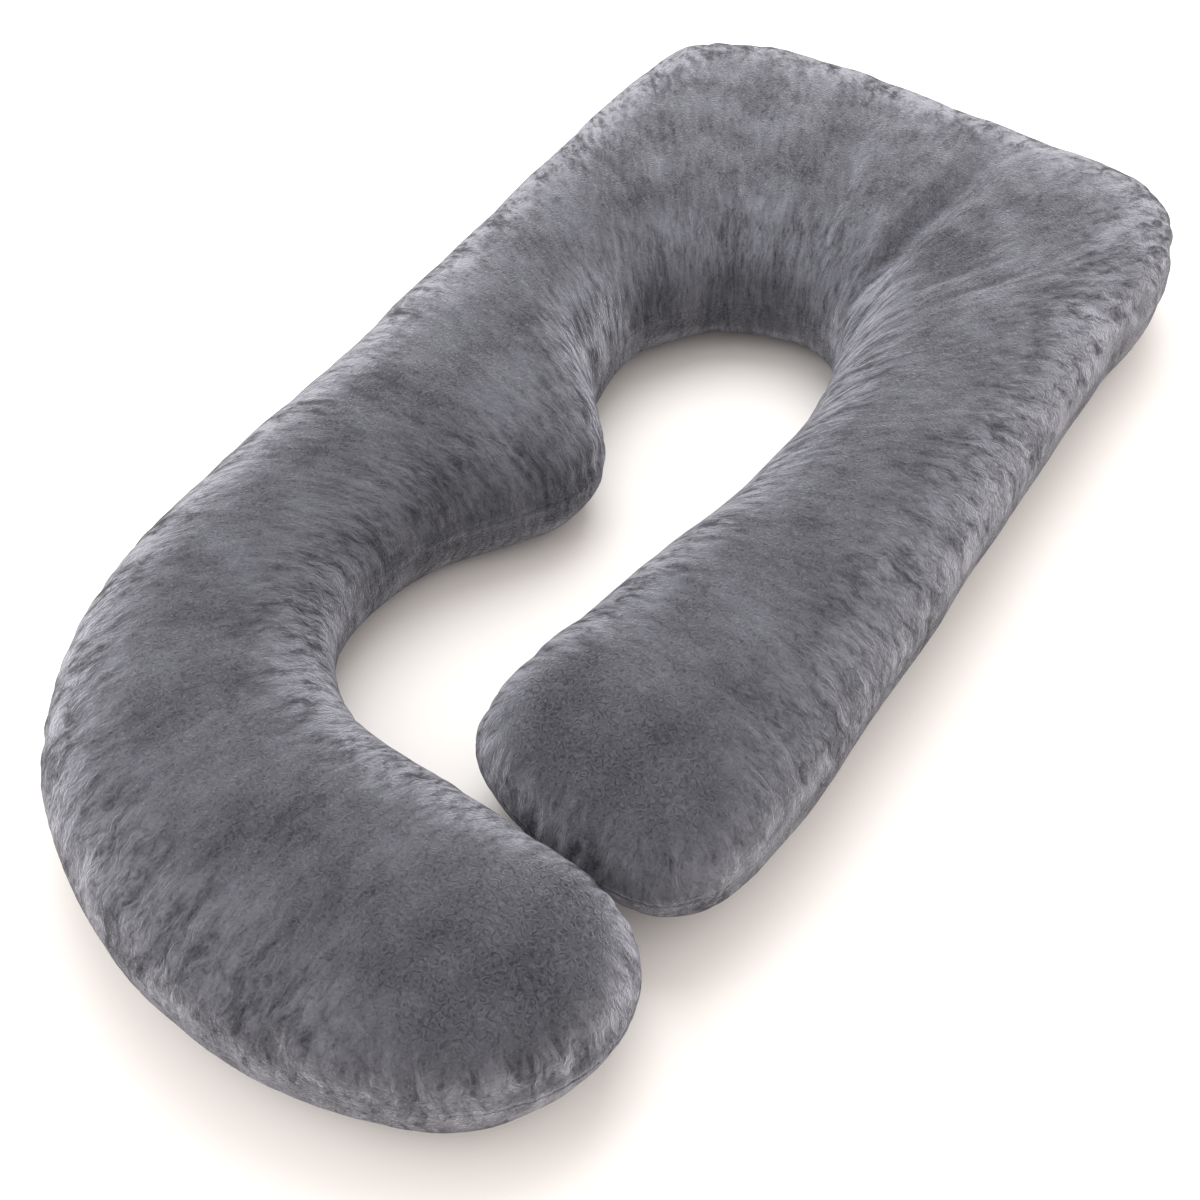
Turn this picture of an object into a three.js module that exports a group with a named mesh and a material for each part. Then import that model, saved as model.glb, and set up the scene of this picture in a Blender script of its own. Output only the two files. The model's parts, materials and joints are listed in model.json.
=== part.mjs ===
// A full-length body pillow in a G shape, lying on its back: a deep head end, a straight leg on the right, and a
// longer leg on the left that swells at the belly and hooks round below the other leg's end. Two velour panels
// are sewn together along one perimeter seam and filled, so the whole pillow is one solid.
// Millimetres, +Z up, +Y towards the head end. The floor is z = 0.

import * as THREE from "three";
import { mergeVertices } from "three/addons/utils/BufferGeometryUtils.js";

const SEAM_HEIGHT = 93; // of the perimeter seam above the floor, about half way up the sides
const SEAM_TILT = 7; // how much higher the seam lies on the outer side, and lower on the inner side
const SEAM_PINCH = 4; // how far the thread draws the seam into the side
const PINCH_SHARPNESS = 8; // a higher power keeps the drawn-in strip nearer to the seam
const FLOOR_PRESS = 12; // how far the filling would sag below the floor, which flattens the underside
const END_ROUNDING = 125; // how far from a leg's tip the filling reaches its full height

const TOP_FORM = 2.15; // superellipse exponent of a leg's section above the seam
const BOTTOM_FORM = 2.4; // the same below the seam, where the filling's weight pushes the side out
const WIDE_FORM = 0.55; // what the exponent gains as a section gets wider than a leg, so that its sides stay full
const LEG_SLENDERNESS = 1.5; // half width over half height of a leg

const FOLD_SPREAD = 0.4; // how far a fold spreads to either side, in rows
const FOLD_BIAS = 1.6; // 1 puts a fold's deepest place half way across, and more moves it to the inner side

const AROUND = 36; // points round a section
const RING_SPACING = 40; // distance between two rings of points on the outer side, at most about this
const LEAST_RINGS = 2; // from one row to the next
const MERGE_DISTANCE = 1e-3;
const CLOTH_COLOR = 0x6f6f75;

// The pillow's outline in plan, row by row from the hooked leg's tip to the straight leg's tip. Each row is one
// section, from the outer side of the pillow to the inner one, with the height of its crown above the floor and the
// depth of the fold that runs across it, if any.
const SECTIONS = [
  { at: "hook tip", outer: [365, -605], inner: [365, -605], crown: 185 },
  { at: "hook end, side", outer: [340, -675], inner: [355, -545], crown: 185 },
  { at: "hook end, shoulder", outer: [290, -730], inner: [315, -505], crown: 186 },
  { at: "hook end, full", outer: [205, -770], inner: [235, -485], crown: 188 },
  { at: "hook, middle", outer: [80, -790], inner: [110, -480], crown: 190 },
  { at: "hook, start of bend", outer: [-50, -770], inner: [10, -475], crown: 190 },
  { at: "hook bend, lower", outer: [-160, -720], inner: [-50, -450], crown: 190 },
  { at: "hook bend, middle", outer: [-240, -650], inner: [-90, -410], crown: 190 },
  { at: "hook bend, upper", outer: [-295, -550], inner: [-110, -355], crown: 190 },
  { at: "calf", outer: [-320, -440], inner: [-110, -285], crown: 190 },
  { at: "below the belly", outer: [-330, -310], inner: [-85, -215], crown: 190 },
  { at: "belly, lower", outer: [-330, -190], inner: [-40, -155], crown: 191 },
  { at: "belly, fullest", outer: [-331, -90], inner: [-10, -105], crown: 192 },
  { at: "belly, upper", outer: [-334, 10], inner: [-15, -40], crown: 191 },
  { at: "waist", outer: [-337, 120], inner: [-75, 30], crown: 190 },
  { at: "left leg, upper", outer: [-340, 240], inner: [-95, 100], crown: 190 },
  { at: "left leg, top", outer: [-343, 370], inner: [-95, 165], crown: 189 },
  { at: "left corner, side", outer: [-345, 510], inner: [-70, 215], crown: 186 },
  { at: "left corner", outer: [-325, 630], inner: [-45, 250], crown: 182 },
  { at: "left fold", outer: [-240, 695], inner: [-20, 265], crown: 179, fold: 9 },
  { at: "head, left", outer: [-150, 708], inner: [15, 280], crown: 177 },
  { at: "middle fold", outer: [-60, 711], inner: [50, 285], crown: 175, fold: 9 },
  { at: "head, middle", outer: [40, 710], inner: [85, 275], crown: 174 },
  { at: "right fold", outer: [150, 704], inner: [110, 255], crown: 176, fold: 18 },
  { at: "right corner", outer: [325, 680], inner: [125, 225], crown: 180 },
  { at: "right corner, side", outer: [390, 570], inner: [135, 190], crown: 184 },
  { at: "right leg, top", outer: [387, 420], inner: [145, 140], crown: 187 },
  { at: "right leg, upper", outer: [387, 260], inner: [150, 60], crown: 189 },
  { at: "right leg, middle", outer: [389, 90], inner: [140, -40], crown: 190 },
  { at: "right leg, lower", outer: [390, -90], inner: [120, -140], crown: 190 },
  { at: "right leg, foot", outer: [390, -240], inner: [100, -250], crown: 190 },
  { at: "foot, full", outer: [385, -345], inner: [80, -340], crown: 188 },
  { at: "foot, shoulder", outer: [370, -430], inner: [90, -420], crown: 186 },
  { at: "foot, side", outer: [325, -475], inner: [160, -465], crown: 185 },
  { at: "foot tip", outer: [240, -480], inner: [240, -480], crown: 185 },
];

const lastRow = SECTIONS.length - 1;

// The whole outline as one closed curve: out along the outer side, back along the inner one.
const outline = new THREE.CatmullRomCurve3(
  [
    ...SECTIONS.map(({ outer }) => new THREE.Vector3(outer[0], outer[1], SEAM_HEIGHT)),
    ...SECTIONS.slice(1, lastRow)
      .reverse()
      .map(({ inner }) => new THREE.Vector3(inner[0], inner[1], SEAM_HEIGHT)),
  ],
  true,
  "centripetal",
);

const outerSide = (row) => outline.getPoint(row / (2 * lastRow));
const innerSide = (row) => outline.getPoint(1 - row / (2 * lastRow));
const middle = (row) => outerSide(row).lerp(innerSide(row), 0.5);

function crownAt(row) {
  const below = Math.min(Math.floor(row), lastRow - 1);
  return THREE.MathUtils.lerp(SECTIONS[below].crown, SECTIONS[below + 1].crown, row - below);
}

// Rows, with fractions, at which the pillow gets a ring of points.
function ringRows() {
  const rows = [];
  for (let row = 0; row < lastRow; row++) {
    const length = outerSide(row).distanceTo(outerSide(row + 1));
    const steps = Math.max(LEAST_RINGS, Math.round(length / RING_SPACING));
    for (let step = 0; step < steps; step++) rows.push(row + step / steps);
  }
  rows.push(lastRow);
  return rows;
}

// How full the pillow is there: 0 at a tip, and 1 from END_ROUNDING on.
function fullness(row) {
  const centre = middle(row);
  const fromTip = Math.min(centre.distanceTo(middle(0)), centre.distanceTo(middle(lastRow)));
  const short = Math.max(0, 1 - fromTip / END_ROUNDING);
  return Math.sqrt(1 - short * short);
}

const power = (value, exponent) => Math.sign(value) * Math.abs(value) ** exponent;

// How deep the fold at a row sinks into the top panel. Folds start at the inner seam, are deepest a third of the way
// to the outer side, and run out before they reach it.
function foldDepth(row, fromInner) {
  const nearest = Math.round(row);
  const { fold = 0 } = SECTIONS[nearest];
  const spread = Math.max(0, 1 - Math.abs(row - nearest) / FOLD_SPREAD);
  return fold * spread * Math.sin(Math.PI * (1 - fromInner) ** FOLD_BIAS);
}

// One point of the section at a row. Angle 0 is at the outer side, a quarter turn the crown, a half turn the inner
// side, and three quarters of a turn the underside.
function sectionPoint(row, angle) {
  const outer = outerSide(row);
  const inner = innerSide(row);
  const halfWidth = outer.distanceTo(inner) / 2;
  const slenderness = halfWidth / (crownAt(row) - SEAM_HEIGHT);
  const panelForm = Math.sin(angle) > 0 ? TOP_FORM : BOTTOM_FORM;
  const form = panelForm + WIDE_FORM * Math.max(0, slenderness - LEG_SLENDERNESS);
  const across = power(Math.cos(angle), 2 / form);
  const up = power(Math.sin(angle), 2 / form);

  const full = fullness(row);
  const drawnIn = SEAM_PINCH * full * (1 - Math.abs(Math.sin(angle))) ** PINCH_SHARPNESS;
  const outward = outer.clone().sub(inner).normalize();
  const point = middle(row).addScaledVector(outward, halfWidth * across - drawnIn * Math.sign(across));

  const seamHeight = SEAM_HEIGHT + SEAM_TILT * across * full;
  const reach = up > 0 ? crownAt(row) - seamHeight : seamHeight + FLOOR_PRESS;
  const fold = up > 0 ? foldDepth(row, (1 + across) / 2) : 0;
  point.z = Math.max(0, seamHeight + reach * full * up - fold);
  return point;
}

// The rings of a sphere, moved onto the pillow's sections: its two poles become the tips. The pillow's box is centred
// on the origin at the end.
function pillowGeometry() {
  const rows = ringRows();
  const geometry = new THREE.SphereGeometry(1, AROUND, rows.length - 1);
  const position = geometry.getAttribute("position");
  for (let ring = 0; ring < rows.length; ring++) {
    for (let step = 0; step <= AROUND; step++) {
      const angle = (1 - (step % AROUND) / AROUND) * 2 * Math.PI;
      const point = sectionPoint(rows[ring], angle);
      position.setXYZ(ring * (AROUND + 1) + step, point.x, point.y, point.z);
    }
  }
  geometry.deleteAttribute("normal");
  geometry.deleteAttribute("uv");
  geometry.computeBoundingBox();
  const centre = geometry.boundingBox.getCenter(new THREE.Vector3());
  geometry.translate(-centre.x, -centre.y, 0);
  return mergeVertices(geometry, MERGE_DISTANCE);
}

const velour = new THREE.MeshStandardMaterial({ color: CLOTH_COLOR, roughness: 0.95, metalness: 0 });
const pillow = new THREE.Mesh(pillowGeometry(), velour);
pillow.name = "pillow";

const bodyPillow = new THREE.Group();
bodyPillow.add(pillow);

export default bodyPillow;
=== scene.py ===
"""A full-length G-shaped body pillow in brushed grey velour, lying on its back on a pale floor.

Metres, +Z up, +Y towards the head end, and the floor at z = 0.
"""

from __future__ import annotations

import json
import logging
import math
from dataclasses import dataclass
from enum import Enum

import bmesh
import bpy
import numpy as np
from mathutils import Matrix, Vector
from mathutils.kdtree import KDTree

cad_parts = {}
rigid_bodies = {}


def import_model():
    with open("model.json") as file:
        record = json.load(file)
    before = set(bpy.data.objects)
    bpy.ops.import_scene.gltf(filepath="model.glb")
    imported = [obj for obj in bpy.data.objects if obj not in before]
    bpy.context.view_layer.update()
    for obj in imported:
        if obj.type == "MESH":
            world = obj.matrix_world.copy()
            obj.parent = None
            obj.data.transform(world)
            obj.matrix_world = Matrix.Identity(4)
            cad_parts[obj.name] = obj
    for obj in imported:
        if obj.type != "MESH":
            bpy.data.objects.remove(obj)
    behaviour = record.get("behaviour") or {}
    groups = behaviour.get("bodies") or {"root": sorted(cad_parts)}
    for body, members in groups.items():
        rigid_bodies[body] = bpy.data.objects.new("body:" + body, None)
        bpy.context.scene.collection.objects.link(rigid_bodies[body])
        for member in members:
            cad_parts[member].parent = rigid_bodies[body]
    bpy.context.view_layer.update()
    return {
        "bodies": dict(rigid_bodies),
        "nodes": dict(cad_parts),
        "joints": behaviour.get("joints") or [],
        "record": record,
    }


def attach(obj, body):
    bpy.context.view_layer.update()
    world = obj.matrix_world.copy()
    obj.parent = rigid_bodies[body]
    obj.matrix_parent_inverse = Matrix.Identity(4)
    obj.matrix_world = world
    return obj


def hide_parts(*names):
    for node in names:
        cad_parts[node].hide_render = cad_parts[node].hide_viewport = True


log = logging.getLogger("body_pillow")

MM = 0.001


def linear(colour: str) -> tuple[float, float, float, float]:
    """Turns an sRGB hex colour into linear values.

    Args:
        colour: six hex digits, red first.

    Returns:
        Linear red, green and blue, and an alpha of 1.
    """
    channels = [int(colour[i : i + 2], 16) / 255 for i in (0, 2, 4)]
    red, green, blue = (c / 12.92 if c <= 0.04045 else ((c + 0.055) / 1.055) ** 2.4 for c in channels)
    return red, green, blue, 1.0


def node(tree: bpy.types.NodeTree, kind: str, inputs: dict | None = None, **settings) -> bpy.types.Node:
    """Adds a node with its settings, and sets or links its inputs.

    Args:
        tree: the material's node tree.
        kind: the node's type name, without the leading ShaderNode.
        inputs: for each input's name or number, a value or the socket that feeds it.
        **settings: the node's own properties.

    Returns:
        The new node.
    """
    made = tree.nodes.new("ShaderNode" + kind)
    for name, value in settings.items():
        setattr(made, name, value)
    for name, value in (inputs or {}).items():
        if isinstance(value, bpy.types.NodeSocket):
            tree.links.new(value, made.inputs[name])
        else:
            made.inputs[name].default_value = value
    return made


def spline_basis(places: np.ndarray, count: int, closed: bool) -> np.ndarray:
    """Weights of a cubic B-spline's control points.

    Args:
        places: places along the row of control points, 0 at the first one, 1 at the next.
        count: how many control points the row has.
        closed: whether the row's end joins its start.

    Returns:
        One line of weights for each place.
    """
    whole = np.floor(places).astype(int)
    t = places - whole
    parts = [(1 - t) ** 3, 3 * t**3 - 6 * t**2 + 4, -3 * t**3 + 3 * t**2 + 3 * t + 1, t**3]
    weights = np.zeros((len(places), count))
    for offset, part in zip(range(-1, 3), parts):
        index = whole + offset
        index = index % count if closed else np.clip(index, 0, count - 1)
        np.add.at(weights, (np.arange(len(places)), index), part / 6)
    return weights


def spline_weights(at: np.ndarray, count: int, closed: bool) -> np.ndarray:
    """Weights of a cubic spline that goes through a row of points.

    Args:
        at: places along the row, 0 at the first point, 1 at the next.
        count: how many points the row has.
        closed: whether the row's end joins its start.

    Returns:
        One line of weights for each place.
    """
    through = spline_basis(np.arange(count, dtype=float), count, closed)
    return spline_basis(at, count, closed) @ np.linalg.inv(through)


@dataclass(frozen=True)
class Velour:
    """Brushed polyester velour.

    It is a warp knit whose loops are sheared to a short pile and then brushed. Pile that leans towards the
    eye shows its dark roots, and pile that leans away shows its bright flanks, so the cloth is mottled,
    finely streaked the way it was stroked, and paler wherever it is seen at a low angle. Its fibres are far
    too fine to show, so the curls and strokes into which they clump are drawn coarser than they are.
    """

    roots: str = "2a2a2f"  # pile seen end on
    flanks: str = "64646b"  # pile laid flat
    roughness: float = 0.9
    specular: float = 0.2  # light gets lost between the fibres

    grain_size: float = 1.5 * MM
    curl_size: float = 9.5 * MM
    curl_turns: float = 5.0  # height lines from a pattern's 0 to its 1
    curl_break: float = 3.4 * MM
    curl_breaks: tuple[float, float] = (0.35, 0.65)  # of a noise, where a line is gone and is whole
    line_size: tuple[float, float] = (11 * MM, 30 * MM)  # across and along a stroke of the hand
    wisp_size: tuple[float, float] = (11 * MM, 34 * MM)
    patch_size: tuple[float, float] = (45 * MM, 110 * MM)
    cloud_size: float = 70 * MM
    stroke_roughness: float = 0.6
    swirl_size: float = 26 * MM
    swirl_reach: float = 14 * MM

    cloud_weight: float = 0.75
    pile_weight: float = 0.4
    grain_weight: float = 0.45
    patch_weight: float = 1.5
    wisp_weight: float = 2.0
    wisps_in_colour: float = 0.75
    wisps_in_sheen: float = 1.4
    painted_side_sheen: float = 0.28  # painted sheen: how much lighter the flanks are than the crown
    painted_sheen_offset: float = 0.65  # share of that taken off everywhere, which keeps the mean colour
    under_shade: float = 0.05  # painted shade: how much darker the bottom panel is, below the seam
    under_shade_reach: float = 8 * MM

    seam_shade: float = 0.72  # what is left of the light beside the thread
    thread_width: float = 0.4 * MM
    seam_width: float = 1.8 * MM
    pile_height: float = 0.8 * MM
    grain_height: float = 0.25  # share of the pile's height

    sheen: tuple[float, float] = (0.17, 0.62)  # seen from above the pile, and at a low angle
    sheen_angles: tuple[float, float] = (0.1, 0.5)  # one less the cosine to the eye
    rim_angles: tuple[float, float] = (0.6, 1.0)  # from here on the outermost fibres hide the rest
    rim_sheen: float = 0.35
    lean_range: tuple[float, float] = (0.1, 0.9)  # nearly upright pile and nearly flat pile
    lean_sheen: tuple[float, float] = (0.2, 1.8)  # what they make of the sheen
    sheen_spread: float = 0.55
    sheen_tint: str = "e7e7f1"

    def material(self) -> bpy.types.Material:
        """Makes the velour.

        Returns:
            A material that reads the piece's `across`, `beside`, `combed` and `end` attributes.
        """
        velour = bpy.data.materials.new("brushed_velour")
        velour.use_nodes = True
        tree = velour.node_tree
        shader = tree.nodes["Principled BSDF"]
        place = node(tree, "TexCoord").outputs["Object"]
        combed = node(tree, "Attribute", attribute_name="combed").outputs["Fac"]
        beside = node(tree, "Attribute", attribute_name="beside").outputs["Vector"]
        off = node(tree, "SeparateXYZ", {0: beside}).outputs["Z"]
        swirl = self.swirl(tree, place)
        pile = self.pile(tree, place, swirl, combed)
        look = {"Vector": place, "Scale": 1 / self.grain_size, "Detail": 1}
        grain = node(tree, "TexNoise", look).outputs["Fac"]

        # How flat the pile lies, from 0 to 1, with painted light: clouds everywhere, and wisps where the
        # cloth was combed.
        look = {"Vector": place, "Scale": 1 / self.cloud_size, "Detail": 3}
        clouds = node(tree, "TexNoise", look).outputs["Fac"]
        parts = ((clouds, self.cloud_weight), (pile, self.pile_weight), (grain, self.grain_weight))
        # Painted shade: below the seam, the bottom panel's colour and sheen are darkened.
        under = {0: off, 1: -self.under_shade_reach, 2: 0.0, 3: -self.under_shade, 4: 0.0}
        under = node(tree, "MapRange", under).outputs[0]
        flat = node(tree, "Math", {0: self.weighed(tree, parts), 1: under}, operation="ADD").outputs[0]
        # Painted sheen: the cloth is made lighter where it was combed, on the flanks, than on the crown.
        flat = {0: combed, 1: self.painted_side_sheen, 2: flat}
        flat = node(tree, "Math", flat, operation="MULTIPLY_ADD").outputs[0]
        offset = self.painted_side_sheen * self.painted_sheen_offset
        flat = node(tree, "Math", {0: flat, 1: offset}, operation="SUBTRACT").outputs[0]
        wispy = self.wisps(tree, swirl, combed)
        dull = {0: wispy, 1: self.wisps_in_colour, 2: flat}
        dull = node(tree, "Math", dull, operation="MULTIPLY_ADD", use_clamp=True).outputs[0]
        shiny = {0: wispy, 1: self.wisps_in_sheen, 2: flat}
        shiny = node(tree, "Math", shiny, operation="MULTIPLY_ADD").outputs[0]

        # The thread pulls the pile down, so a fine dark line marks the seam, partly the thread's own and
        # partly painted shade in its groove.
        off = node(tree, "Math", {0: off}, operation="ABSOLUTE").outputs[0]
        shade = {0: off, 1: self.thread_width, 2: self.seam_width, 3: self.seam_shade, 4: 1.0}
        shade = node(tree, "MapRange", shade).outputs[0]
        colour = {0: dull, 6: linear(self.roots), 7: linear(self.flanks)}
        colour = node(tree, "Mix", colour, data_type="RGBA").outputs[2]
        colour = node(tree, "VectorMath", {0: colour, "Scale": shade}, operation="SCALE").outputs[0]
        tree.links.new(colour, shader.inputs["Base Color"])
        tree.links.new(self.sheen_weight(tree, shiny, shade), shader.inputs["Sheen Weight"])

        height = self.weighed(tree, ((pile, 1.0), (grain, self.grain_height)))
        bump = node(tree, "Bump", {"Height": height, "Distance": self.pile_height, "Strength": 1.0})
        tree.links.new(bump.outputs["Normal"], shader.inputs["Normal"])

        shader.inputs["Roughness"].default_value = self.roughness
        shader.inputs["Specular IOR Level"].default_value = self.specular
        shader.inputs["Sheen Roughness"].default_value = self.sheen_spread
        shader.inputs["Sheen Tint"].default_value = linear(self.sheen_tint)
        return velour

    def swirl(self, tree: bpy.types.NodeTree, place: bpy.types.NodeSocket) -> bpy.types.NodeSocket:
        """Makes strokes wander, as the hand that stroked the cloth did.

        Args:
            tree: the material's node tree.
            place: the place on the piece.

        Returns:
            The socket of how far a stroke is moved.
        """
        look = {"Vector": place, "Scale": 1 / self.swirl_size, "Detail": 1}
        swirl = node(tree, "TexNoise", look).outputs["Color"]
        swirl = node(tree, "VectorMath", {0: swirl, 1: (0.5, 0.5, 0.5)}, operation="SUBTRACT").outputs[0]
        return node(tree, "VectorMath", {0: swirl, "Scale": self.swirl_reach}, operation="SCALE").outputs[0]

    def pile(
        self,
        tree: bpy.types.NodeTree,
        place: bpy.types.NodeSocket,
        swirl: bpy.types.NodeSocket,
        combed: bpy.types.NodeSocket,
    ) -> bpy.types.NodeSocket:
        """Draws the clumps of the pile: curls on the crown, and lines where the cloth was combed.

        Args:
            tree: the material's node tree.
            place: the place on the piece.
            swirl: how far the lines wander.
            combed: how much the cloth was combed.

        Returns:
            The socket of the pattern, about one half on average.
        """
        look = {"Vector": place, "Scale": 1 / self.curl_break, "Detail": 0}
        broken = node(tree, "TexNoise", look).outputs["Fac"]
        gone, whole = self.curl_breaks
        broken = node(tree, "MapRange", {0: broken, 1: gone, 2: whole, 3: 0.0, 4: 0.5}).outputs[0]
        look = {"Vector": place, "Scale": 1 / self.curl_size, "Detail": 1.5}
        curls = node(tree, "TexNoise", look).outputs["Fac"]
        lines = self.stroked(tree, swirl, self.line_size, detail=1.5)
        curls, lines = (self.curled(tree, pattern, broken) for pattern in (curls, lines))
        return node(tree, "Mix", {0: combed, 2: curls, 3: lines}).outputs[0]

    def wisps(
        self, tree: bpy.types.NodeTree, swirl: bpy.types.NodeSocket, combed: bpy.types.NodeSocket
    ) -> bpy.types.NodeSocket:
        """Draws the wisps and patches that a hand leaves where it combs the cloth.

        Args:
            tree: the material's node tree.
            swirl: how far the wisps wander.
            combed: how much the cloth was combed.

        Returns:
            The socket of the pattern, about zero on average.
        """
        wisps = self.stroked(tree, swirl, self.wisp_size, detail=2.5)
        patches = self.stroked(tree, swirl, self.patch_size, detail=4.0)
        wispy = self.weighed(tree, ((patches, self.patch_weight), (wisps, self.wisp_weight)))
        wispy = node(tree, "Math", {0: wispy, 1: 0.5}, operation="SUBTRACT").outputs[0]
        return node(tree, "Math", {0: wispy, 1: combed}, operation="MULTIPLY").outputs[0]

    def sheen_weight(
        self, tree: bpy.types.NodeTree, shiny: bpy.types.NodeSocket, shade: bpy.types.NodeSocket
    ) -> bpy.types.NodeSocket:
        """Lets fibre tips catch the light at a low angle, most where the pile lies flat.

        Args:
            tree: the material's node tree.
            shiny: how flat the pile lies.
            shade: what the seam leaves of the light.

        Returns:
            The socket of the sheen's weight.
        """
        facing = node(tree, "LayerWeight", {"Blend": 0.5}).outputs["Facing"]
        low, high = self.sheen_angles
        rise = {0: facing, 1: low, 2: high, 3: self.sheen[0], 4: self.sheen[1]}
        rise = node(tree, "MapRange", rise).outputs[0]
        low, high = self.rim_angles
        fall = node(tree, "MapRange", {0: facing, 1: low, 2: high, 3: 1.0, 4: self.rim_sheen}).outputs[0]
        low, high = self.lean_range
        lit = {0: shiny, 1: low, 2: high, 3: self.lean_sheen[0], 4: self.lean_sheen[1]}
        lit = node(tree, "MapRange", lit).outputs[0]
        sheen = node(tree, "Math", {0: rise, 1: fall}, operation="MULTIPLY").outputs[0]
        sheen = node(tree, "Math", {0: sheen, 1: lit}, operation="MULTIPLY").outputs[0]
        return node(tree, "Math", {0: sheen, 1: shade}, operation="MULTIPLY", use_clamp=True).outputs[0]

    def curled(
        self, tree: bpy.types.NodeTree, pattern: bpy.types.NodeSocket, broken: bpy.types.NodeSocket
    ) -> bpy.types.NodeSocket:
        """Draws the height lines of a pattern, in short pieces.

        Args:
            tree: the material's node tree.
            pattern: the pattern.
            broken: how high the lines stand, from place to place.

        Returns:
            The socket of the lines, about one half on average.
        """
        turns = self.curl_turns * math.tau
        turned = node(tree, "Math", {0: pattern, 1: turns}, operation="MULTIPLY").outputs[0]
        waves = node(tree, "Math", {0: turned}, operation="SINE").outputs[0]
        return node(tree, "Math", {0: waves, 1: broken, 2: 0.5}, operation="MULTIPLY_ADD").outputs[0]

    def stroked(
        self,
        tree: bpy.types.NodeTree,
        swirl: bpy.types.NodeSocket,
        size: tuple[float, float],
        detail: float,
    ) -> bpy.types.NodeSocket:
        """Draws strokes that run across the leg, and out from the seam at its ends.

        Args:
            tree: the material's node tree.
            swirl: how far the strokes wander.
            size: of a stroke, across it and along it.
            detail: how many finer sizes it has.

        Returns:
            The socket of the pattern, about one half on average.
        """
        scale = (1 / size[0], 1 / size[0], 1 / size[1])
        drawn = []
        for name in ("across", "beside"):
            place = node(tree, "Attribute", attribute_name=name).outputs["Vector"]
            place = node(tree, "VectorMath", {0: place, 1: swirl}).outputs[0]
            place = node(tree, "VectorMath", {0: place, 1: scale}, operation="MULTIPLY").outputs[0]
            look = {"Vector": place, "Scale": 1, "Detail": detail, "Roughness": self.stroke_roughness}
            drawn.append(node(tree, "TexNoise", look).outputs["Fac"])
        end = node(tree, "Attribute", attribute_name="end").outputs["Fac"]
        return node(tree, "Mix", {0: end, 2: drawn[0], 3: drawn[1]}).outputs[0]

    def weighed(self, tree: bpy.types.NodeTree, parts: tuple) -> bpy.types.NodeSocket:
        """Adds up patterns around one half.

        Args:
            tree: the material's node tree.
            parts: pairs of a pattern whose mean is one half, and its weight.

        Returns:
            The socket of the sum.
        """
        total = 0.5 - sum(weight for _, weight in parts) / 2
        for pattern, weight in parts:
            total = {0: pattern, 1: weight, 2: total}
            total = node(tree, "Math", total, operation="MULTIPLY_ADD").outputs[0]
        return total


@dataclass
class Studio:
    """The floor, the light and the camera."""

    floor_colour: str = "f6f1ed"
    floor_size: float = 30.0
    sky_colour: str = "fffbf8"
    sky_strength: float = 1.24
    light_colour: str = "f5fbff"
    film_width: float = 36.0  # mm
    lens: float = 48.96  # mm
    azimuth: float = 33.51  # degrees from looking along +Y, positive towards +X
    elevation: float = 50.45
    distance: float = 1.7643
    target: tuple[float, float, float] = (0.0277, -0.111, 0.0)

    def build(self) -> None:
        """Makes the floor, the lights and the camera."""
        self.floor()
        self.lights()
        self.camera()

    def floor(self) -> None:
        """Makes a plain white floor with a faint warm tint in its shade."""
        bm = bmesh.new()
        bmesh.ops.create_grid(bm, x_segments=1, y_segments=1, size=self.floor_size / 2)
        mesh = bpy.data.meshes.new("floor")
        bm.to_mesh(mesh)
        bm.free()
        paint = bpy.data.materials.new("floor_paint")
        paint.use_nodes = True
        shader = paint.node_tree.nodes["Principled BSDF"]
        shader.inputs["Base Color"].default_value = linear(self.floor_colour)
        shader.inputs["Roughness"].default_value = 0.9
        shader.inputs["Specular IOR Level"].default_value = 0.0
        mesh.materials.append(paint)
        floor = bpy.data.objects.new("floor", mesh)
        bpy.context.scene.collection.objects.link(floor)

    def lights(self) -> None:
        """Makes a white sky, one big soft light above and behind the pillow, and a weak one at its left."""
        world = bpy.data.worlds.new("studio")
        world.use_nodes = True
        background = world.node_tree.nodes["Background"]
        background.inputs["Color"].default_value = linear(self.sky_colour)
        background.inputs["Strength"].default_value = self.sky_strength
        bpy.context.scene.world = world
        self.area_light("overhead", Vector((-0.8, 1.2, 3.0)), size=2.4, power=72.0)
        self.area_light("side", Vector((-1.6, -1.5, 2.0)), size=2.0, power=17.0)
        bpy.context.scene.view_settings.view_transform = "Standard"

    def area_light(self, name: str, place: Vector, size: float, power: float) -> None:
        """Adds a square soft light that faces the pillow.

        Args:
            name: the light's name.
            place: where it hangs.
            size: length of its sides.
            power: in watts.
        """
        light = bpy.data.lights.new(name, "AREA")
        light.size = size
        light.energy = power
        light.color = linear(self.light_colour)[:3]
        lamp = bpy.data.objects.new(name, light)
        lamp.location = place
        lamp.rotation_euler = (-place).to_track_quat("-Z", "Y").to_euler()
        bpy.context.scene.collection.objects.link(lamp)

    def camera(self) -> None:
        """Makes the camera at the photograph's angle, and the scene's own."""
        azimuth, elevation = math.radians(self.azimuth), math.radians(self.elevation)
        level = math.cos(elevation)
        back = Vector((math.sin(azimuth) * level, -math.cos(azimuth) * level, math.sin(elevation)))
        data = bpy.data.cameras.new("camera")
        data.lens = self.lens
        data.sensor_width = self.film_width
        camera = bpy.data.objects.new("camera", data)
        camera.location = Vector(self.target) + back * self.distance
        camera.rotation_euler = back.to_track_quat("Z", "Y").to_euler()
        bpy.context.scene.collection.objects.link(camera)
        bpy.context.scene.camera = camera


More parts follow.
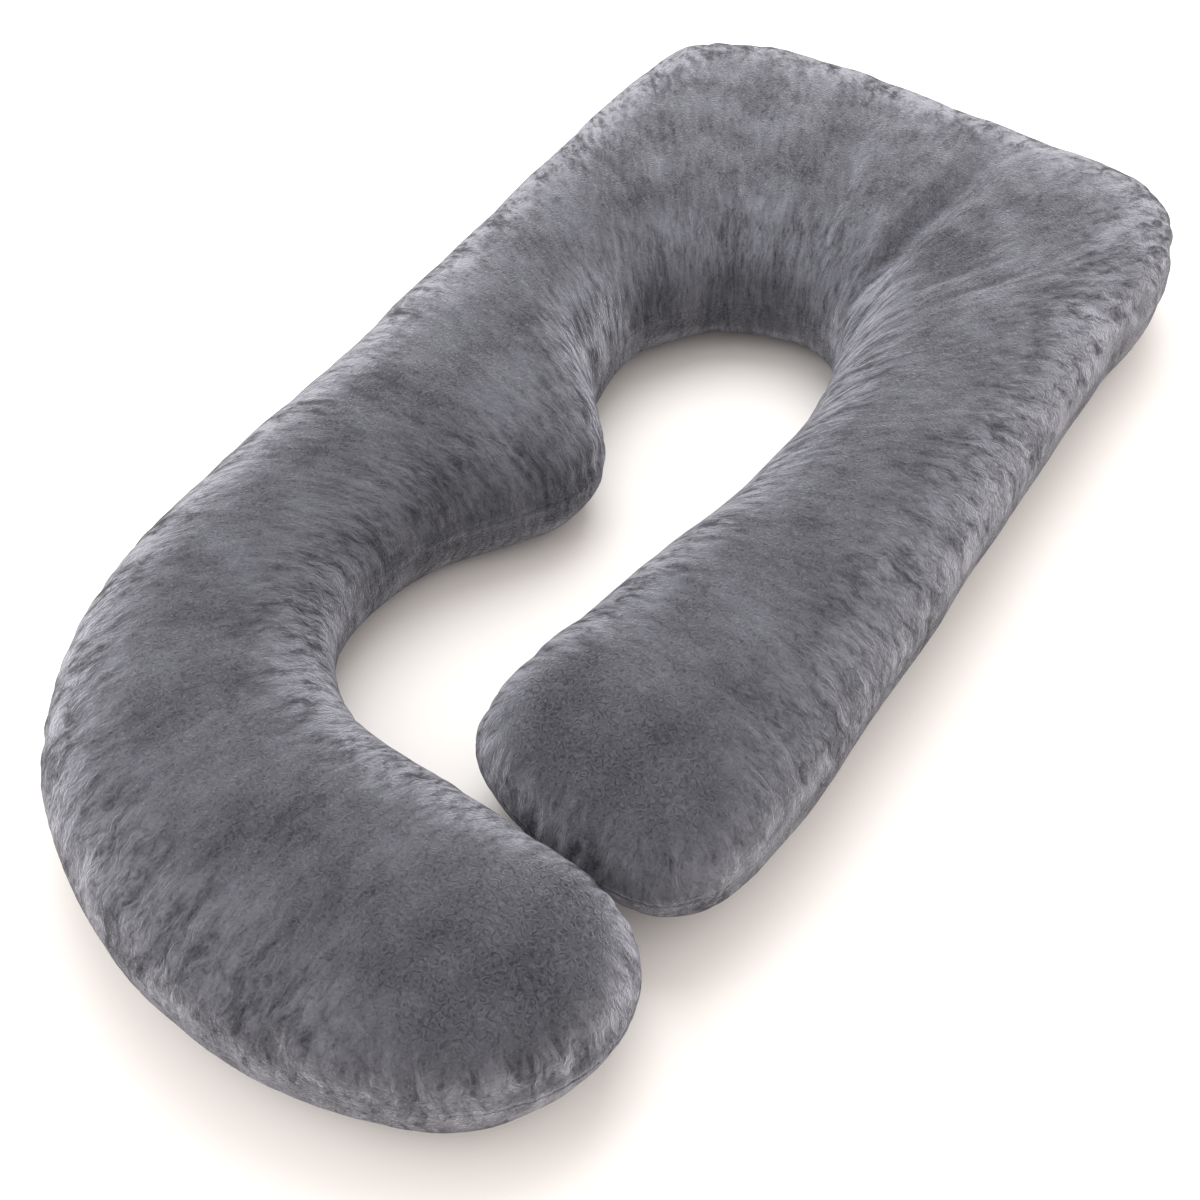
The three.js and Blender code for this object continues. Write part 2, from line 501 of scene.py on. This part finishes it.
class SeamLine:
    """The closed line along which the two panels are sewn together, and measures taken from it."""

    LEG_SHARE = 0.65  # of the pillow's length, that a place in one of its halves may be measured from
    BEND_STEP = 5 * MM
    BEND_WINDOW = 60 * MM  # over which the seam's turning is evened out

    def __init__(self, grid: np.ndarray) -> None:
        """Walks the line once: from the foot's tip along the outer side, and back along the inner side.

        Args:
            grid: the cover's points by ring, from the hook's tip to the foot's tip, and by column.
        """
        count, columns = grid.shape[:2]
        points = np.concatenate([grid[::-1, 0], grid[1:-1, columns // 2]])
        rings = np.concatenate([np.arange(count)[::-1], np.arange(1, count - 1)])
        self.points = points
        ahead = np.roll(points, -1, axis=0) - points
        steps = np.linalg.norm(ahead, axis=1)
        self.travelled = np.concatenate([[0], np.cumsum(steps[:-1])])
        self.length = float(steps.sum())
        self.direction = ahead / steps[:, None]
        hook_side = rings < self.LEG_SHARE * count
        foot_side = rings > (1 - self.LEG_SHARE) * count
        self.trees = {True: self.tree(hook_side), False: self.tree(foot_side)}

    def tree(self, chosen: np.ndarray) -> KDTree:
        """Sorts some of the line's points, so that the nearest one is quickly found.

        Args:
            chosen: for each point of the line, whether it takes part.

        Returns:
            The tree of the chosen points, each with its number on the line.
        """
        tree = KDTree(int(chosen.sum()))
        for index in np.flatnonzero(chosen):
            tree.insert(self.points[index], int(index))
        tree.balance()
        return tree

    def measure(self, places: np.ndarray, share: np.ndarray) -> tuple[np.ndarray, np.ndarray]:
        """Measures where places lie beside the seam of their own leg.

        Args:
            places: points of the cover.
            share: how far each one lies along the pillow, 0 at the hook's tip and 1 at the foot's tip.

        Returns:
            How far along the seam each one is, and how far from it, negative below the seam.
        """
        halves = zip(places, share < 0.5)
        nearest = np.array([self.trees[bool(first)].find(place)[1] for place, first in halves])
        offset = places - self.points[nearest]
        onward = (offset * self.direction[nearest]).sum(axis=1)
        beside = np.linalg.norm(offset - self.direction[nearest] * onward[:, None], axis=1)
        along = (self.travelled[nearest] + onward) % self.length
        return along, np.where(offset[:, 2] < 0, -beside, beside)

    def bend(self, along: np.ndarray) -> np.ndarray:
        """Measures how sharply the seam turns.

        Args:
            along: how far along the seam each place is.

        Returns:
            Radians a metre, positive where the pillow bulges out.
        """
        even = np.linspace(0, self.length, int(self.length / self.BEND_STEP), endpoint=False)
        heading = np.unwrap(np.arctan2(self.direction[:, 1], self.direction[:, 0]))
        turned = heading[-1] - heading[0]
        heading = np.interp(even, self.travelled, heading)
        reach = int(self.BEND_WINDOW / self.BEND_STEP)
        kernel = np.hanning(2 * reach + 1)
        wrapped = np.concatenate([heading[-2 * reach :] - turned, heading, heading[: 2 * reach] + turned])
        smooth = np.convolve(np.gradient(wrapped), kernel / kernel.sum(), "same")[2 * reach : -2 * reach]
        turning = smooth * math.copysign(1, turned) / (even[1] - even[0])
        return np.interp(along, even, turning, period=self.length)


@dataclass(frozen=True)
class Creases:
    """Creases that run out from the seam, where the thread gathers more cloth than the seam is long."""

    spacing: tuple[float, float]
    width: tuple[float, float]
    reach: tuple[float, float]
    least: float  # depth where the seam is straight
    gain: float = 0.0  # more depth for each radian a metre that the seam bulges out
    most_bulge: float = 4.0  # radians a metre, past which they get no deeper
    below: float = 0.3  # share of the depth in the bottom panel, on which the pillow lies
    uneven: tuple[float, float] = (0.5, 1.4)  # what chance makes of the depth
    most_slant: float = 0.35  # how far a crease leans along the seam, for each metre away from it
    margin: float = 0.6  # share of the reach, past which a crease doesn't get along the seam
    at_seam: float = 0.3  # share of the depth at the thread, which holds the cloth
    held_reach: float = 12 * MM
    seed: int = 7

    def relief(self, seam: SeamLine, along: np.ndarray, beside: np.ndarray) -> np.ndarray:
        """Draws the creases on both sides of the seam.

        Args:
            seam: the seam.
            along: how far along the seam each point is.
            beside: how far from the seam each point is, negative below it.

        Returns:
            How far each point stands out, negative in a crease.
        """
        chance = np.random.default_rng(self.seed)
        relief = np.zeros(len(along))
        order = np.argsort(along)
        margin = self.margin * self.reach[1]
        place = 0.0
        while place < seam.length:
            bulge = min(max(0.0, float(seam.bend(np.array([place]))[0])), self.most_bulge)
            depth = (self.least + self.gain * bulge) * chance.uniform(*self.uneven)
            width = chance.uniform(*self.width)
            slant = chance.uniform(-self.most_slant, self.most_slant)
            low, high = np.searchsorted(along[order], (place - margin, place + margin))
            for side, strength in ((1, 1.0), (-1, self.below)):
                reach = chance.uniform(*self.reach)
                near = order[low:high]
                out = beside[near] * side
                near, out = near[(out >= 0) & (out < reach)], out[(out >= 0) & (out < reach)]
                off = np.abs(along[near] - place - slant * out) / (width * (1 + out / reach))
                free = self.at_seam + (1 - self.at_seam) * np.minimum(1, out / self.held_reach)
                fade = (1 - out / reach) * free
                relief[near] -= depth * strength * fade * np.exp(-(off**1.5))
            place += chance.uniform(*self.spacing)
        return relief


class PileSide(Enum):
    """Where cloth piles up beside a fold: on both sides, or only to the right of its line."""

    BOTH = 0
    RIGHT = 1


@dataclass(frozen=True)
class Fold:
    """A fold in the top panel, with cloth that piles up beside it."""

    line: tuple[tuple[float, float], ...]  # in plan, in metres
    depth: float
    width: float
    pile_up: float = 0.5  # share of the depth
    pile_side: PileSide = PileSide.BOTH
    pile_distance: float = 1.9  # widths from the line
    start: float = 0.06  # share of the taper that is past when the line starts, at the inner seam
    blunt: float = 0.7  # power of the taper, and less makes the ends blunter
    lowest: float = 90 * MM  # above the floor
    rise: float = 30 * MM  # from there to its full depth

    def relief(self, places: np.ndarray) -> np.ndarray:
        """Draws the fold.

        Args:
            places: points of the cover.

        Returns:
            How far each point stands out, negative in the fold.
        """
        line = np.array(self.line)
        ahead = np.diff(line, axis=0)
        lengths = np.linalg.norm(ahead, axis=1)
        travelled = np.concatenate([[0], np.cumsum(lengths)])
        nearest = np.full(len(places), np.inf)
        side = np.zeros(len(places))
        share = np.zeros(len(places))
        for start, step, length, before in zip(line, ahead, lengths, travelled):
            offset = places[:, :2] - start
            onward = np.clip(offset @ step / length**2, 0, 1)
            away = offset - onward[:, None] * step
            off = np.linalg.norm(away, axis=1)
            closer = off < nearest
            nearest = np.where(closer, off, nearest)
            right = step[1] * away[:, 0] - step[0] * away[:, 1]
            side = np.where(closer, np.sign(right), side)
            share = np.where(closer, (before + onward * length) / travelled[-1], share)
        off = nearest * side / self.width
        valley = np.exp(-(off**2))
        piled = np.exp(-((np.abs(off) - self.pile_distance) ** 2))
        piled *= np.where(off * self.pile_side.value < 0, 0.0, 1.0)
        taper = np.sin(math.pi * np.clip(self.start + (1 - self.start) * share, 0, 1)) ** self.blunt
        upper = np.clip((places[:, 2] - self.lowest) / self.rise, 0, 1)
        return self.depth * taper * upper * (self.pile_up * piled - valley)


# What the cloth solver is told about a soft velour over a full filling.
CLOTH_SETTINGS = {
    "quality": 5,
    "mass": 0.3,
    "tension_stiffness": 15,
    "compression_stiffness": 15,
    "shear_stiffness": 5,
    "bending_stiffness": 0.5,
    "use_pressure": True,
    "vertex_group_mass": "held",
}


@dataclass
class Cover:
    """The filled velour cover: its two panels, the seam between them, and their puckers and folds."""

    solid: bpy.types.Object
    name: str = "filled_cover"
    around: int = 36  # points round a section of the solid
    merge_distance: float = 0.01 * MM
    rings: int = 900
    columns: int = 104
    seam_crowding: float = 0.6  # how much closer the columns lie at the seam
    pillow_length: float = 3.4  # along its middle

    settled_rings: int = 360
    settled_columns: int = 88
    pressure: float = 4.0
    settling_frames: int = 20
    floor_contact: float = 0.5 * MM  # points below this stay on the floor
    most_move: float = 10 * MM
    swell_window: float = 90 * MM  # moves evened out over it are the swell, and the rest are ripples
    swell_kept: float = 0.15
    ripple_kept: float = 0.55

    puckers: Creases = Creases(
        spacing=(10 * MM, 20 * MM),
        width=(4 * MM, 6 * MM),
        reach=(40 * MM, 95 * MM),
        least=0.7 * MM,
        gain=0.6 * MM,
    )
    wrinkles: Creases = Creases(
        spacing=(32 * MM, 70 * MM),
        width=(9 * MM, 15 * MM),
        reach=(90 * MM, 160 * MM),
        least=1.2 * MM,
        seed=11,
    )
    folds: tuple[Fold, ...] = (
        Fold(
            (
                (0.126, 0.210),
                (0.111, 0.280),
                (0.104, 0.350),
                (0.106, 0.420),
                (0.109, 0.500),
                (0.113, 0.570),
            ),
            depth=5 * MM,
            width=17 * MM,
            pile_up=0.7,
            pile_side=PileSide.RIGHT,
        ),
        Fold(
            ((0.007, 0.285), (-0.008, 0.340), (-0.034, 0.440), (-0.084, 0.630)),
            depth=2.6 * MM,
            width=12 * MM,
        ),
        Fold(
            ((-0.084, 0.315), (-0.112, 0.370), (-0.144, 0.450), (-0.189, 0.550)),
            depth=2.6 * MM,
            width=12 * MM,
        ),
    )
    lump: float = 1.2 * MM
    lump_waves: int = 24
    lump_lengths: tuple[float, float] = (0.09, 0.24)
    lump_peak: float = 5.0  # of the sum of the waves, most of the time
    groove: float = 0.5 * MM
    groove_reach: float = 2.5 * MM
    fullness: float = 3.2 * MM
    full_reach: float = 13 * MM

    combed_within: float = 70 * MM  # of the seam
    combed_fade: float = 75 * MM  # from there to the least combed cloth
    seam_combing: float = 0.5
    under_combing: float = 0.45
    crown_combing: float = 0.28
    end_reach: float = 0.16  # from a tip, and it fades out over as much again
    end_narrowing: float = 0.55  # how much less far the combed cloth reaches at a tip
    end_sharpening: float = 0.35  # how much shorter its fade is there
    seed: int = 7

    def build(self) -> bpy.types.Object:
        """Makes the cover's mesh.

        Returns:
            The cover, with no material yet.
        """
        sections = self.sections()
        rows = self.even_rows(sections, self.settled_rings)
        settled = self.resample(sections, rows, self.column_places(self.settled_columns))
        moved = self.evened(self.settle(settled) - settled)

        fine_rows = self.even_rows(sections, self.rings)
        grid = self.resample(sections, fine_rows, self.column_places(self.columns))
        back = np.interp(fine_rows, rows, np.arange(len(rows), dtype=float))
        around = np.arange(self.columns) / self.columns * self.settled_columns
        grid += self.resample(moved, back, around)
        seam = SeamLine(grid)
        places = grid.reshape(-1, 3)
        share = np.repeat(np.linspace(0, 1, self.rings), self.columns)
        along, beside = seam.measure(places, share)
        relief = self.lumps(places) + self.drawn_seam(beside)
        relief += self.puckers.relief(seam, along, beside) + self.wrinkles.relief(seam, along, beside)
        relief += sum(fold.relief(places) for fold in self.folds)
        grid += self.normals(grid) * relief.reshape(grid.shape[:2])[..., None]
        grid[..., 2] = np.maximum(grid[..., 2], 0)
        grid[[0, -1]] = grid[[0, -1]].mean(axis=1, keepdims=True)
        piece = self.skin(grid, self.name)
        self.measure_cloth(piece, seam, grid)
        return piece

    def sections(self) -> np.ndarray:
        """Reads the solid's rings of points.

        Returns:
            Points by ring, from the hook's tip to the foot's tip, and round each ring from the outer seam
            over the crown.
        """
        bm = bmesh.new()
        bm.from_mesh(self.solid.data)
        bmesh.ops.remove_doubles(bm, verts=bm.verts, dist=self.merge_distance)
        tips = [v for v in bm.verts if len(v.link_edges) == self.around]
        tip = min(tips, key=lambda v: v.co.y)
        loop = tip.link_loops[0]
        ring = []
        for _ in range(self.around):
            ring.append(loop.link_loop_next.vert)
            loop = loop.link_loop_prev.link_loop_radial_next
        seen = {tip, *ring}
        rings = [[tip] * self.around, ring]
        while True:
            following = []
            for near, far in zip(ring, ring[1:] + ring[:1]):
                shared = {f for f in near.link_faces if f in far.link_faces}
                following += [v for f in shared for v in f.verts if v not in seen]
            if len(set(following)) == 1:
                rings.append([following[0]] * self.around)
                break
            shifts = [following[k:] + following[:k] for k in (-1, 0, 1)]
            ring = min(shifts, key=lambda r: sum((a.co - b.co).length for a, b in zip(ring, r)))
            seen.update(ring)
            rings.append(ring)
        points = np.array([[v.co for v in ring] for ring in rings])
        bm.free()
        crown = int(points[:, :, 2].mean(axis=0).argmax())
        points = np.roll(points, self.around // 4 - crown, axis=1)
        lengths = np.linalg.norm(np.diff(points, axis=0), axis=2).sum(axis=0)
        if lengths[0] < lengths[self.around // 2]:
            points = points[:, (self.around // 2 - np.arange(self.around)) % self.around]
        return points

    def even_rows(self, sections: np.ndarray, count: int) -> np.ndarray:
        """Finds places along the solid that lie equally far apart.

        Args:
            sections: the solid's points by ring and column.
            count: how many places to find.

        Returns:
            The places, in rings.
        """
        seams = sections[:, [0, self.around // 2]]
        steps = np.linalg.norm(np.diff(seams, axis=0), axis=2).mean(axis=1)
        travelled = np.concatenate([[0], np.cumsum(steps)])
        return np.interp(np.linspace(0, travelled[-1], count), travelled, np.arange(len(travelled)))

    def crowded(self, turn: np.ndarray) -> np.ndarray:
        """Moves even shares of a turn closer to the seam's two sides."""
        return turn - self.seam_crowding / (4 * math.pi) * np.sin(4 * math.pi * turn)

    def column_places(self, count: int) -> np.ndarray:
        """Places round the solid, in its points, that lie closer together at the seam."""
        return self.crowded(np.arange(count) / count) * self.around

    def resample(self, grid: np.ndarray, rows: np.ndarray, columns: np.ndarray) -> np.ndarray:
        """Reads smooth surface points between the points of a grid.

        Args:
            grid: points by ring and column, each tip a ring of one point.
            rows: where to read along it, in rings.
            columns: where to read round it, in columns.

        Returns:
            The points, by row and column.
        """
        half = grid.shape[1] // 2
        padded = np.concatenate([np.roll(grid[3:0:-1], half, 1), grid, np.roll(grid[-2:-5:-1], half, 1)])
        along = spline_weights(rows + 3, len(padded), closed=False)
        across = spline_weights(columns, grid.shape[1], closed=True)
        result = np.einsum("ri,cj,ijk->rck", along, across, padded, optimize=True)
        result[0] = result[0].mean(axis=0)
        result[-1] = result[-1].mean(axis=0)
        return result

    def skin(self, grid: np.ndarray, name: str) -> bpy.types.Object:
        """Makes a closed mesh whose rings lie on a grid of points.

        Args:
            grid: points by ring and column, each tip a ring of one point.
            name: of the object.

        Returns:
            The object, whose vertex attributes `ring` and `column` tell where each point came from.
        """
        count, columns = grid.shape[:2]
        bm = bmesh.new()
        bmesh.ops.create_uvsphere(bm, u_segments=columns, v_segments=count - 1, radius=1)
        unit = np.array([v.co for v in bm.verts])
        ring = np.rint(np.arccos(np.clip(unit[:, 2], -1, 1)) / math.pi * (count - 1)).astype(int)
        column = np.rint(np.arctan2(unit[:, 1], unit[:, 0]) / math.tau * columns).astype(int) % columns
        for vertex, place in zip(bm.verts, grid[ring, column]):
            vertex.co = place
        if bm.calc_volume(signed=True) < 0:
            bmesh.ops.reverse_faces(bm, faces=bm.faces)
        mesh = bpy.data.meshes.new(name)
        bm.to_mesh(mesh)
        bm.free()
        for label, values in (("ring", ring), ("column", column)):
            mesh.attributes.new(label, "INT", "POINT").data.foreach_set("value", values.astype(np.int32))
        mesh.shade_smooth()
        made = bpy.data.objects.new(name, mesh)
        bpy.context.scene.collection.objects.link(made)
        return made

    def attribute(self, piece: bpy.types.Object, name: str) -> np.ndarray:
        """Reads a whole-number attribute of a piece's points.

        Args:
            piece: the piece.
            name: of the attribute.

        Returns:
            Its value at each point.
        """
        values = np.zeros(len(piece.data.vertices), np.int32)
        piece.data.attributes[name].data.foreach_get("value", values)
        return values

    def normals(self, grid: np.ndarray) -> np.ndarray:
        """Finds the directions that point out of the cover.

        Args:
            grid: the cover's points by ring and column.

        Returns:
            The direction at each of them.
        """
        around = np.roll(grid, -1, axis=1) - np.roll(grid, 1, axis=1)
        onward = np.gradient(grid, axis=0)
        outward = np.cross(around, onward)
        outward /= np.maximum(np.linalg.norm(outward, axis=2, keepdims=True), 1e-12)
        crown = outward[:, grid.shape[1] // 4, 2].mean()
        return outward * math.copysign(1, crown)

    def evened(self, moved: np.ndarray) -> np.ndarray:
        """Takes most of the even swelling off the settled cloth's moves, and leaves some of its ripples.

        Args:
            moved: how far each point of the cloth moved, by ring and column.

        Returns:
            What is kept of the moves.
        """
        rows = int(self.swell_window / self.pillow_length * len(moved))
        kernel = np.hanning(2 * rows + 1)
        kernel /= kernel.sum()
        padded = np.concatenate([moved[rows:0:-1], moved, moved[-2 : -rows - 2 : -1]])
        swell = np.apply_along_axis(np.convolve, 0, padded, kernel, "valid")
        return (moved - swell) * self.ripple_kept + swell * self.swell_kept

    def lumps(self, places: np.ndarray) -> np.ndarray:
        """Draws the soft unevenness of the filling, as a sum of waves.

        Args:
            places: points of the cover.

        Returns:
            How far each point stands out.
        """
        chance = np.random.default_rng(self.seed)
        directions = chance.normal(size=(self.lump_waves, 3))
        directions /= np.linalg.norm(directions, axis=1, keepdims=True)
        lengths = chance.uniform(*self.lump_lengths, self.lump_waves)
        phases = chance.uniform(0, math.tau, self.lump_waves)
        waves = np.sin(places @ (directions * math.tau / lengths[:, None]).T + phases)
        return waves.sum(axis=1) * self.lump / self.lump_peak

    def drawn_seam(self, beside: np.ndarray) -> np.ndarray:
        """Draws the narrow groove of the thread, in sides that the filling keeps full."""
        groove = self.groove * np.exp(-((beside / self.groove_reach) ** 2))
        return self.fullness * np.exp(-((beside / self.full_reach) ** 2)) - groove

    def measure_cloth(self, piece: bpy.types.Object, seam: SeamLine, grid: np.ndarray) -> None:
        """Gives each point of the cover the places from which its pile is drawn.

        `across` is how far along the pillow and across the leg it is. `beside` is how far along the seam,
        laid round a hoop, and how far from it. `combed` is 1 on the flanks, and less at the seam and on the
        crown. `end` is 1 at the tips.

        Args:
            piece: the cover.
            seam: its seam.
            grid: its points by ring and column.
        """
        count, columns = grid.shape[:2]
        ring = self.attribute(piece, "ring")
        column = self.attribute(piece, "column")
        share = ring / (count - 1)
        along, beside = seam.measure(grid[ring, column], share)
        hoop = seam.length / math.tau
        turn = along / hoop
        self.store(piece, "beside", np.stack([hoop * np.cos(turn), hoop * np.sin(turn), beside], axis=1))

        opened = np.roll(grid, columns // 4, axis=1)
        steps = np.linalg.norm(np.diff(opened, axis=1), axis=2)
        walked = np.concatenate([np.zeros((count, 1)), np.cumsum(steps, axis=1)], axis=1)
        walked = np.roll(walked - walked[:, columns // 4, None], -(columns // 4), axis=1)
        onward = share * self.pillow_length
        self.store(piece, "across", np.stack([onward, 0 * onward, walked[ring, column]], axis=1))

        from_end = np.minimum(onward, self.pillow_length - onward)
        end = self.eased_step(2 - from_end / self.end_reach)
        within = self.combed_within * (1 - self.end_narrowing * end)
        fade = self.combed_fade * (1 - self.end_sharpening * end)
        crown = self.eased_step((np.abs(beside) - within) / fade)
        side = self.eased_step(np.abs(beside) / within)
        # Besides the wisps, `combed` places the painted sheen: lighter flanks, and a darker crown and
        # bottom panel.
        combed = self.seam_combing + (1 - self.seam_combing) * side
        combed *= 1 - (1 - self.under_combing) * self.eased_step(-beside / self.full_reach)
        self.store(piece, "combed", combed * (1 - crown * (1 - self.crown_combing * (1 - end))))
        self.store(piece, "end", end)

    def eased_step(self, share: np.ndarray) -> np.ndarray:
        """Goes smoothly from 0 at 0 to 1 at 1."""
        share = np.clip(share, 0, 1)
        return share * share * (3 - 2 * share)

    def store(self, piece: bpy.types.Object, name: str, values: np.ndarray) -> None:
        """Stores an attribute of a piece's points.

        Args:
            piece: the piece.
            name: of the attribute.
            values: a number or a vector for each point.
        """
        kind, field = ("FLOAT", "value") if values.ndim == 1 else ("FLOAT_VECTOR", "vector")
        stored = piece.data.attributes.new(name, kind, "POINT")
        stored.data.foreach_set(field, values.astype(np.float32).ravel())

    def settle(self, grid: np.ndarray) -> np.ndarray:
        """Lets the filled cover settle as cloth that is held at the seam and on the floor.

        Args:
            grid: the cover's points before it settles.

        Returns:
            The points after it, none moved further than allowed.
        """
        draft = self.skin(grid, "settling_cover")
        rest = np.array([v.co for v in draft.data.vertices])
        ring = self.attribute(draft, "ring")
        column = self.attribute(draft, "column")
        fixed = (rest[:, 2] < self.floor_contact) | np.isin(column, (0, grid.shape[1] // 2))
        fixed |= np.isin(ring, (0, len(grid) - 1))
        held = draft.vertex_groups.new(name="held")
        for index, hold in enumerate(fixed):
            held.add([index], float(hold), "REPLACE")
        settings = draft.modifiers.new("cloth", "CLOTH").settings
        for name, value in CLOTH_SETTINGS.items():
            setattr(settings, name, value)
        settings.uniform_pressure_force = self.pressure
        settings.effector_weights.gravity = 0
        for frame in range(1, self.settling_frames + 1):
            bpy.context.scene.frame_set(frame)
        settled = draft.evaluated_get(bpy.context.evaluated_depsgraph_get())
        moved = np.array([v.co for v in settled.data.vertices]) - rest
        bpy.context.scene.frame_set(1)
        reach = np.linalg.norm(moved, axis=1, keepdims=True)
        log.info("cloth moved %.1f mm at most, %.1f on average", reach.max() / MM, reach.mean() / MM)
        moved *= np.minimum(1, self.most_move / np.maximum(reach, 1e-9))
        result = grid.copy()
        result[ring, column] += moved
        result[0] = result[0, 0]
        result[-1] = result[-1, 0]
        bpy.data.objects.remove(draft)
        return result


def main() -> None:
    """Builds the pillow and its studio, and says how many faces the pillow has."""
    logging.basicConfig(level=logging.INFO, format="%(name)s: %(message)s")
    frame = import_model()
    Studio().build()
    cover = Cover(frame["nodes"]["pillow"])
    piece = cover.build()
    piece.data.materials.append(Velour().material())
    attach(piece, "root")
    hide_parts("pillow")
    log.info("%s has %d faces", piece.name, len(piece.data.polygons))


if __name__ == "__main__":
    main()
